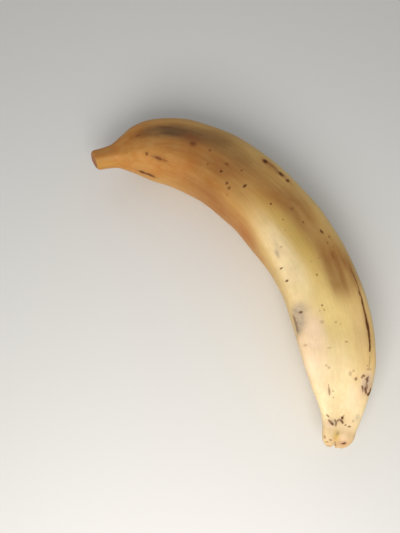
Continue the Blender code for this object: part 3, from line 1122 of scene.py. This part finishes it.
def plain_object(name: str, mesh: bpy.types.Mesh) -> bpy.types.Object:
    """Puts a mesh in the scene, at the origin.

    Args:
        name: The piece's name.
        mesh: Its mesh, with its place in it.

    Returns:
        The object.
    """
    made = bpy.data.objects.new(name, mesh)
    bpy.context.scene.collection.objects.link(made)
    return made


class GeometryRule:
    """A geometry tree with named inputs, which is run once on an object and leaves a plain mesh."""

    def __init__(self, name: str) -> None:
        """Starts an empty tree.

        Args:
            name: The tree's name.
        """
        self.tree = bpy.data.node_groups.new(name, "GeometryNodeTree")
        self.sketch = NodeSketch(self.tree)
        self.ids: dict[str, str] = {}
        for way in ("INPUT", "OUTPUT"):
            self.tree.interface.new_socket("Geometry", in_out=way, socket_type="NodeSocketGeometry")
        self.start = self.sketch.add("NodeGroupInput")
        self.end = self.sketch.add("NodeGroupOutput")

    def input(self, name: str, kind: str = "NodeSocketFloat") -> Socket:
        """Adds a named input.

        Args:
            name: What the input is.
            kind: Blender's name of its type.

        Returns:
            The input, to link from.
        """
        made = self.tree.interface.new_socket(name, in_out="INPUT", socket_type=kind)
        self.ids[name] = made.identifier
        return next(s for s in self.start.outputs if s.identifier == made.identifier)

    def named(self, name: str, kind: str = "FLOAT") -> Socket:
        """Reads one of the mesh's own maps."""
        node = self.sketch.add("GeometryNodeInputNamedAttribute", {"Name": name}, data_type=kind)
        return node.outputs["Attribute"]

    def close(self, geometry: Socket) -> None:
        """Ends the tree: instances made real, smooth, and with the material that it is given.

        Args:
            geometry: What the tree has made.
        """
        real = self.sketch.add("GeometryNodeRealizeInstances", {"Geometry": geometry})
        smooth = self.sketch.add("GeometryNodeSetShadeSmooth", {0: real.outputs[0]})
        dress = {"Geometry": smooth.outputs[0], "Material": self.input("Material", "NodeSocketMaterial")}
        dressed = self.sketch.add("GeometryNodeSetMaterial", dress)
        self.sketch.feed(self.end.inputs[0], dressed.outputs[0])

    def run(self, piece: bpy.types.Object, values: dict[str, object]) -> None:
        """Runs the tree on a piece and keeps the result as its mesh.

        Args:
            piece: The object to change.
            values: The named inputs' values.
        """
        step = piece.modifiers.new("rule", "NODES")
        step.node_group = self.tree
        for name, value in values.items():
            step[self.ids[name]] = value
        graph = bpy.context.evaluated_depsgraph_get()
        graph.update()
        mesh = bpy.data.meshes.new_from_object(piece.evaluated_get(graph), depsgraph=graph)
        piece.modifiers.remove(step)
        mesh.name = piece.name
        piece.data = mesh


@dataclass(frozen=True)
class SkinRelief:
    """Low relief over the whole skin: shallow dents, long fibres, and the marks' own heights."""

    dent_depth: float = 0.00030
    dent_size: float = 0.016
    fibre_depth: float = 0.00004
    fibre_width: float = 0.0014
    fibre_stretch: float = 9.0
    wrinkle_depth: float = 0.00016
    wrinkle_width: float = 0.0024
    cut_roughness: float = 0.00030
    cut_grain: float = 900.0

    def sizes(self) -> dict[str, float]:
        """The tree's named inputs, with their values.

        Returns:
            The sizes above, by name.
        """
        return {
            "Dent depth": self.dent_depth,
            "Dent size": self.dent_size,
            "Fibre depth": self.fibre_depth,
            "Fibre width": self.fibre_width,
            "Fibre stretch": self.fibre_stretch,
            "Wrinkle depth": self.wrinkle_depth,
            "Wrinkle width": self.wrinkle_width,
            "Cut roughness": self.cut_roughness,
            "Cut grain": self.cut_grain,
        }

    def rule(self) -> GeometryRule:
        """Writes the geometry tree.

        Returns:
            The tree, whose inputs are the sizes above and the material.
        """
        rule = GeometryRule("skin_relief")
        sketch = rule.sketch
        sizes = {name: rule.input(name) for name in self.sizes()}
        place = rule.named("unbent", "FLOAT_VECTOR")
        squeeze = {0: sketch.math("DIVIDE", 1.0, sizes["Fibre stretch"]), 1: 1.0, 2: 1.0}
        drawn = sketch.stretched(place, sketch.add("ShaderNodeCombineXYZ", squeeze).outputs[0])
        swings = []
        for where, size, depth, rough in (
            (place, "Dent size", "Dent depth", 0.4),
            (drawn, "Fibre width", "Fibre depth", 0.5),
            (drawn, "Wrinkle width", "Wrinkle depth", 0.5),
        ):
            noise = sketch.noise(where, sketch.math("DIVIDE", 1.0, sizes[size]), detail=1.0, rough=rough)
            swings.append(sketch.swing(noise, sizes[depth]))
        dents, fibres, wrinkles = swings
        crumbs = sketch.noise(place, sizes["Cut grain"], detail=2.0, rough=0.6)
        crumbs = sketch.swing(crumbs, sizes["Cut roughness"])
        body = sketch.math("ADD", dents, fibres)
        total = rule.named("raised")
        for height, where in ((body, "relief"), (wrinkles, "neck"), (crumbs, "cut")):
            total = sketch.math("MULTIPLY_ADD", height, rule.named(where), total)
        push = {0: sketch.add("GeometryNodeInputNormal").outputs[0], "Scale": total}
        offset = sketch.add("ShaderNodeVectorMath", push, operation="SCALE").outputs[0]
        moved = {"Geometry": rule.start.outputs[0], "Offset": offset}
        rule.close(sketch.add("GeometryNodeSetPosition", moved).outputs[0])
        return rule

    def apply(self, piece: bpy.types.Object, material: bpy.types.Material) -> None:
        """Presses the relief into a piece and dresses it."""
        self.rule().run(piece, self.sizes() | {"Material": material})


@dataclass(frozen=True)
class StrandTuft:
    """Short dry strands that stand on a patch of skin."""

    density: float
    length: float
    thickness: float
    lean: float
    seed: int
    sides: int = 5
    segments: int = 2
    tip_share: float = 0.35
    least_size: Triple = (0.6, 0.6, 0.3)
    most_size: Triple = (1.3, 1.3, 1.2)

    def sizes(self) -> dict[str, float]:
        """The tree's named sizes, with their values.

        Returns:
            The sizes, by name. The seed is an input of its own.
        """
        return {
            "Strands to a square metre": self.density,
            "Strand length": self.length,
            "Strand radius": self.thickness,
            "Lean": self.lean,
        }

    def rule(self) -> GeometryRule:
        """Writes the geometry tree.

        Returns:
            The tree, whose inputs are the sizes above, the seed and the material.
        """
        rule = GeometryRule("strand_tuft")
        sketch = rule.sketch
        density, length, thickness, lean = map(rule.input, self.sizes())
        seed = rule.input("Seed", "NodeSocketInt")
        spots = {"Mesh": rule.start.outputs[0], "Density": density, "Seed": seed}
        spread = sketch.add("GeometryNodeDistributePointsOnFaces", spots, distribute_method="RANDOM")
        cone = {
            "Vertices": self.sides,
            "Side Segments": self.segments,
            "Radius Top": sketch.math("MULTIPLY", thickness, self.tip_share),
            "Radius Bottom": thickness,
            "Depth": length,
        }
        strand = sketch.add("GeometryNodeMeshCone", cone, fill_type="NGON")
        low = sketch.math("MULTIPLY", lean, -1.0)
        least, most = (
            sketch.add("ShaderNodeCombineXYZ", {0: turn, 1: turn}).outputs[0] for turn in (low, lean)
        )
        leaning = {0: least, 1: most, "Seed": seed}
        scaling = {0: self.least_size, 1: self.most_size, "Seed": sketch.math("ADD", seed, 1.0)}
        tilts, scales = (
            sketch.add("FunctionNodeRandomValue", given, data_type="FLOAT_VECTOR").outputs[0]
            for given in (leaning, scaling)
        )
        turning = {0: spread.outputs["Rotation"], 1: tilts}
        turned = sketch.add("FunctionNodeRotateRotation", turning, rotation_space="LOCAL")
        stand = {
            "Points": spread.outputs["Points"],
            "Instance": strand.outputs["Mesh"],
            "Rotation": turned.outputs[0],
            "Scale": scales,
        }
        rule.close(sketch.add("GeometryNodeInstanceOnPoints", stand).outputs[0])
        return rule

    def grow(self, name: str, patch: bpy.types.Mesh, finish: DryFinish) -> bpy.types.Object:
        """Grows the strands.

        Args:
            name: The new piece's name.
            patch: The faces that the strands stand on.
            finish: What they look like.

        Returns:
            The strands as one piece.
        """
        piece = plain_object(name, patch)
        self.rule().run(piece, self.sizes() | {"Seed": self.seed, "Material": finish.material()})
        return piece


@dataclass
class Plantain:
    """The whole fruit: its skin, the frayed cut of its stalk and the dry remnant at its blossom end."""

    form: PlantainForm
    plan: RingPlan
    sides: int
    relief: SkinRelief
    peel: SkinFinish
    cut_tuft: StrandTuft
    tip_tuft: StrandTuft
    fray: DryFinish
    remnant: DryFinish
    seam_angle: float = 270.0
    map_margin: float = 0.004
    scab_height: float = 0.00012
    scab_rim: float = 0.5
    scar_line_depth: float = 0.00022
    scar_line_rim: float = 0.4
    bruise_dent: float = 0.00030
    cut_inset: int = 9
    cut_fade: float = 7.0
    scar_fade: float = 4.0
    fray_inset: int = 2
    neck_end: float = 0.10
    neck_fade: float = 0.06
    stalk_fade: float = 0.03
    tip_fade: float = 0.02
    tip_least: float = 0.3
    lift: float = 0.00003
    least_radius: float = 0.0004
    top_crowding: float = 0.4

    def __post_init__(self) -> None:
        """Lays out the skin's grid of points."""
        self.rings = self.plan.rings(self.form)
        # The grid starts underneath, so that the map's seam is out of sight
        steps = np.arange(self.sides + 1) / self.sides
        self.turns = steps + self.top_crowding / (2 * np.pi) * np.sin(2 * np.pi * steps)
        self.angles = (self.seam_angle + 360.0 * self.turns[:-1]) % 360.0
        self.points = self.form.surface(self.rings, self.angles)
        self.share = self._round(self.rings.share)
        self.angle = np.repeat(self.angles[None, :], len(self.rings.share), axis=0)

    def build(self) -> list[bpy.types.Object]:
        """Builds the fruit's pieces.

        Returns:
            The skin, the frayed cut and the remnant.
        """
        return [self.skin(), self.frayed_cut(), self.blossom_remnant()]

    def skin(self) -> bpy.types.Object:
        """Builds the skin over the rings, with its maps and relief.

        Returns:
            The skin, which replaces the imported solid's node.
        """
        mesh = self._mesh(self.points, "plantain_skin", first_cap=True, last_cap=True)
        self._unwrap(mesh)
        self._write_maps(mesh)
        piece = plain_object("plantain_skin", mesh)
        self.relief.apply(piece, self.peel.material())
        self._press_flat(piece)
        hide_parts(CAD_NODE)
        return piece

    def frayed_cut(self) -> bpy.types.Object:
        """Builds the frayed strands on the stalk's cut.

        Returns:
            The strands as one piece.
        """
        last = self.rings.cut_rings - self.fray_inset
        patch = self._mesh(self.points[:last], "cut_patch", first_cap=True)
        return self.cut_tuft.grow("stalk_fibres", patch, self.fray)

    def blossom_remnant(self) -> bpy.types.Object:
        """Builds the dry remnant in the blossom end's scar."""
        patch = self._mesh(self.points[-self.rings.scar_rings :], "scar_patch", last_cap=True)
        return self.tip_tuft.grow("blossom_remnant", patch, self.remnant)

    def _round(self, values: np.ndarray) -> np.ndarray:
        """One value for each ring, repeated round it."""
        return np.repeat(values[:, None], self.sides, axis=1)

    def _mesh(
        self, points: np.ndarray, name: str, first_cap: bool = False, last_cap: bool = False
    ) -> bpy.types.Mesh:
        """Makes a mesh of quads over rings of points.

        Args:
            points: Points: rings, angles, 3.
            name: The mesh's name.
            first_cap: Whether the first end is closed.
            last_cap: Whether the last end is closed.

        Returns:
            The mesh, with its faces outwards.
        """
        count, sides = points.shape[:2]
        places = [tuple(p) for p in points.reshape(-1, 3)]
        k = np.arange(sides)
        after = (k + 1) % sides
        faces: list[tuple[int, ...]] = []
        for a in range(0, (count - 1) * sides, sides):
            b = a + sides
            faces += np.stack([a + k, b + k, b + after, a + after], axis=1).tolist()
        last = (count - 1) * sides
        ends = ((first_cap, 0, k, after), (last_cap, -1, last + after, last + k))
        for closed, ring, first, second in ends:
            if closed:
                places.append(tuple(points[ring].mean(axis=0)))
                faces += [(len(places) - 1, int(i), int(j)) for i, j in zip(first, second)]
        mesh = bpy.data.meshes.new(name)
        mesh.from_pydata(places, [], faces)
        mesh.validate()
        tidy = bmesh.new()
        tidy.from_mesh(mesh)
        if first_cap and last_cap:
            bmesh.ops.recalc_face_normals(tidy, faces=tidy.faces)
        tidy.to_mesh(mesh)
        tidy.free()
        mesh.shade_smooth()
        return mesh

    def _unwrap(self, mesh: bpy.types.Mesh) -> None:
        """Lays the skin out flat: along the fruit across the map, and round it up the map.

        Args:
            mesh: The skin's mesh.
        """
        middles = self.points.mean(axis=1)
        radius = np.linalg.norm(self.points - middles[:, None, :], axis=2).mean(axis=1)
        steps = np.hypot(np.linalg.norm(np.diff(middles, axis=0), axis=1), np.diff(radius))
        run = np.concatenate([[radius[0]], radius[0] + np.cumsum(steps)])
        total = run[-1] + radius[-1]
        layer = mesh.uv_layers.new(name="OFBake")
        grid = len(middles) * self.sides
        columns_of_turns = np.arange(self.sides + 1)
        for face in mesh.polygons:
            corners = [mesh.loops[i].vertex_index for i in face.loop_indices]
            columns = [c % self.sides for c in corners if c < grid]
            wraps = max(columns) - min(columns) > 1
            for i, corner in zip(face.loop_indices, corners):
                if corner >= grid:
                    column = columns[0] + 0.5 if not wraps else self.sides - 0.5
                    across = 0.0 if corner == grid else total
                else:
                    column = corner % self.sides
                    if wraps and column == 0:
                        column = self.sides
                    across = run[corner // self.sides]
                places = (across / total, float(np.interp(column, columns_of_turns, self.turns)))
                layer.data[i].uv = [self.map_margin + (1 - 2 * self.map_margin) * at for at in places]

    def _write_maps(self, mesh: bpy.types.Mesh) -> None:
        """Writes every map that the relief and the peel read.

        Args:
            mesh: The skin's mesh.
        """
        girth = read_stations(self.form.girth, np.clip(self.rings.share, 0.0, 1.0))
        radius = np.maximum(self.form.width / 2 * girth * self.rings.scale, self.least_radius)
        run = self._round(self.rings.run(self.form))
        field = SkinField(self.form.length / MM, run, self.angle, self._round(radius) / MM)
        cut, scar = self._end_maps()
        off_stalk = eased(self.share / self.stalk_fade)
        off_tip = eased((1.0 - self.share) / self.tip_fade + self.tip_least)
        maps = self._mark_maps(field)
        maps |= {zone.value: field.zone(windows) for zone, windows in ZONES.items()}
        maps |= {
            "cut": cut,
            "scar": scar,
            "neck": (1.0 - cut) * eased((self.neck_end - self.share) / self.neck_fade),
            "relief": (1.0 - cut) * (1.0 - scar) * off_stalk * off_tip,
            "unbent": self._straight_places(),
        }
        for name, values in maps.items():
            self._store(mesh, name, values)

    def _mark_maps(self, field: SkinField) -> dict[str, np.ndarray]:
        """Draws the maps of the marks.

        Args:
            field: The skin's places.

        Returns:
            The maps by name: each kind of mark, how deep it is, and how far the skin stands up.
        """
        listed = {
            Mark.SPECK: [Blemish(Mark.SPECK, *row[:4], depth=row[4]) for row in SPECKS],
            Mark.SCAB: [],
            Mark.SCAR: [],
            Mark.BRUISE: [Blemish(Mark.BRUISE, *row) for row in BRUISES],
            Mark.TAN: [Blemish(Mark.TAN, *row) for row in TANS],
        }
        for mark in HiddenMarks().draw():
            listed[mark.kind].append(mark)
        drawn = {
            kind: [(field.steps_from(mark), mark.depth) for mark in listed[kind]]
            for kind in (Mark.SPECK, Mark.SCAB, Mark.SCAR)
        }
        for stroke in STROKES:
            drawn[stroke.kind].append((field.steps_from_stroke(stroke), stroke.depth))
        speck, speck_depth = field.crisp(drawn[Mark.SPECK] + drawn[Mark.SCAR])
        scab, scab_depth = field.crisp(drawn[Mark.SCAB])
        line, line_depth = field.crisp(drawn[Mark.SCAR])
        bruise = field.soft(listed[Mark.BRUISE])
        raised = self.scab_height * scab_depth * eased(scab * 2.0 - self.scab_rim)
        raised = raised - self.scar_line_depth * line_depth * eased(line * 2.0 - self.scar_line_rim)
        return {
            "speck": speck,
            "speck_depth": speck_depth,
            "scab": scab,
            "scab_depth": scab_depth,
            "bruise": bruise,
            "tan": field.soft(listed[Mark.TAN]),
            "raised": raised - self.bruise_dent * bruise,
        }

    def _end_maps(self) -> tuple[np.ndarray, np.ndarray]:
        """Draws the maps of the two ends, which fall to 0 just past their edges.

        Returns:
            1 on the cut face, and 1 in the blossom end's scar.
        """
        rings = np.arange(len(self.rings.share))
        last = len(rings) - self.rings.scar_rings
        at_cut = 1.0 - eased((rings - (self.rings.cut_rings - self.cut_inset)) / self.cut_fade)
        return self._round(at_cut), self._round(eased((rings - last) / self.scar_fade))

    def _straight_places(self) -> np.ndarray:
        """Where each point would be if the fruit were straight, which patterns follow."""
        offsets = self.form.sections(self.rings.share, self.angles) * self.rings.scale[:, None, None]
        return np.concatenate([self.share[:, :, None] * self.form.length, offsets], axis=2)

    def _store(self, mesh: bpy.types.Mesh, name: str, values: np.ndarray) -> None:
        """Writes one map, where the ends' middle points take the mean of their ring.

        Args:
            mesh: The skin's mesh.
            name: The map's name.
            values: One number or one place for each point of the rings.
        """
        kind, field = ("FLOAT_VECTOR", "vector") if values.ndim > 2 else ("FLOAT", "value")
        flat = np.concatenate([values.reshape(-1, *values.shape[2:]), values[[0, -1]].mean(axis=1)])
        layer = mesh.attributes.new(name, kind, "POINT")
        layer.data.foreach_set(field, flat.astype(np.float32).ravel())

    def _press_flat(self, piece: bpy.types.Object) -> None:
        """Keeps the resting side on the floor after the relief.

        Args:
            piece: The skin.
        """
        mesh = piece.data
        places = np.empty(len(mesh.vertices) * 3, np.float32)
        mesh.vertices.foreach_get("co", places)
        places[2::3] = np.maximum(places[2::3], self.lift)
        mesh.vertices.foreach_set("co", places)
        mesh.update()


@dataclass(frozen=True)
class Lamp:
    """One soft square light: its place, its side, its power in watts and its colour."""

    name: str
    place: Triple
    size: float
    power: float
    colour: Triple

    def hang(self, toward: Vector) -> None:
        """Hangs the light.

        Args:
            toward: What it points at.
        """
        lamp = bpy.data.lights.new(self.name, "AREA")
        lamp.shape = "SQUARE"
        lamp.size = self.size
        lamp.energy = self.power
        lamp.color = self.colour
        made = bpy.data.objects.new(self.name, lamp)
        made.location = self.place
        made.rotation_euler = (toward - Vector(self.place)).to_track_quat("-Z", "Y").to_euler()
        bpy.context.scene.collection.objects.link(made)


@dataclass(frozen=True)
class Studio:
    """Floor, lights and camera."""

    camera_place: Triple = (0.07566, -0.10566, 0.38299)
    look: Triple = (-0.24137, 0.19296, -0.95106)
    long_side_view: float = 45.0
    nearest: float = 0.01
    floor_size: float = 3.0
    world_colour: Colour = (0.96, 0.98, 1.0, 1.0)
    world_strength: float = 0.33
    lit_point: Triple = (0.0, 0.0, 0.02)
    key: Lamp = Lamp("key_light", (0.24, -0.27, 0.38), 0.32, 2.25, (1.0, 0.965, 0.91))
    fill: Lamp = Lamp("fill_light", (-0.75, 0.35, 0.85), 0.9, 0.85, (0.93, 0.96, 1.0))

    def build(self) -> None:
        """Builds the whole studio."""
        self._floor()
        self._camera()
        self._world()
        for lamp in (self.key, self.fill):
            lamp.hang(Vector(self.lit_point))

    def _floor(self) -> None:
        """Lays the floor."""
        half = self.floor_size / 2
        mesh = bpy.data.meshes.new("floor")
        corners = [(-half, -half, 0.0), (half, -half, 0.0), (half, half, 0.0), (-half, half, 0.0)]
        mesh.from_pydata(corners, [], [(0, 1, 2, 3)])
        mesh.materials.append(FloorFinish().material())
        plain_object("floor", mesh)

    def _camera(self) -> None:
        """Sets the camera up."""
        lens = bpy.data.cameras.new("camera")
        lens.sensor_fit = "AUTO"
        lens.lens = lens.sensor_width / (2 * math.tan(math.radians(self.long_side_view) / 2))
        lens.clip_start = self.nearest
        camera = bpy.data.objects.new("camera", lens)
        forward = Vector(self.look).normalized()
        right = forward.cross(Vector((0.0, 0.0, 1.0))).normalized()
        turn = Matrix((right, right.cross(forward), -forward)).transposed()
        camera.matrix_world = Matrix.Translation(Vector(self.camera_place)) @ turn.to_4x4()
        bpy.context.scene.collection.objects.link(camera)
        bpy.context.scene.camera = camera

    def _world(self) -> None:
        """Sets an even, pale surround."""
        world = bpy.data.worlds.new("studio")
        world.use_nodes = True
        ground = world.node_tree.nodes["Background"]
        ground.inputs["Color"].default_value = self.world_colour
        ground.inputs["Strength"].default_value = self.world_strength
        bpy.context.scene.world = world
        bpy.context.scene.view_settings.view_transform = "Standard"


def main() -> None:
    """Builds the studio and the fruit, and reports each piece."""
    logging.basicConfig(level=logging.INFO, format="%(name)s: %(message)s")
    Studio().build()
    fruit = Plantain(
        form=PlantainForm(),
        plan=RingPlan(),
        sides=190,
        relief=SkinRelief(),
        peel=SkinFinish(),
        cut_tuft=StrandTuft(density=900000.0, length=0.0008, thickness=0.00011, lean=0.5, seed=7),
        tip_tuft=StrandTuft(density=1100000.0, length=0.0010, thickness=0.00014, lean=0.7, seed=11),
        fray=DryFinish("dry_stalk_fibre", srgb(140, 100, 62), srgb(52, 32, 20)),
        remnant=DryFinish("dry_blossom", srgb(84, 58, 38), srgb(24, 16, 12)),
    )
    for piece in fruit.build():
        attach(piece, BODY)
        piece.data.calc_loop_triangles()
        log.info("%s: %d triangles", piece.name, len(piece.data.loop_triangles))


if __name__ == "__main__":
    main()
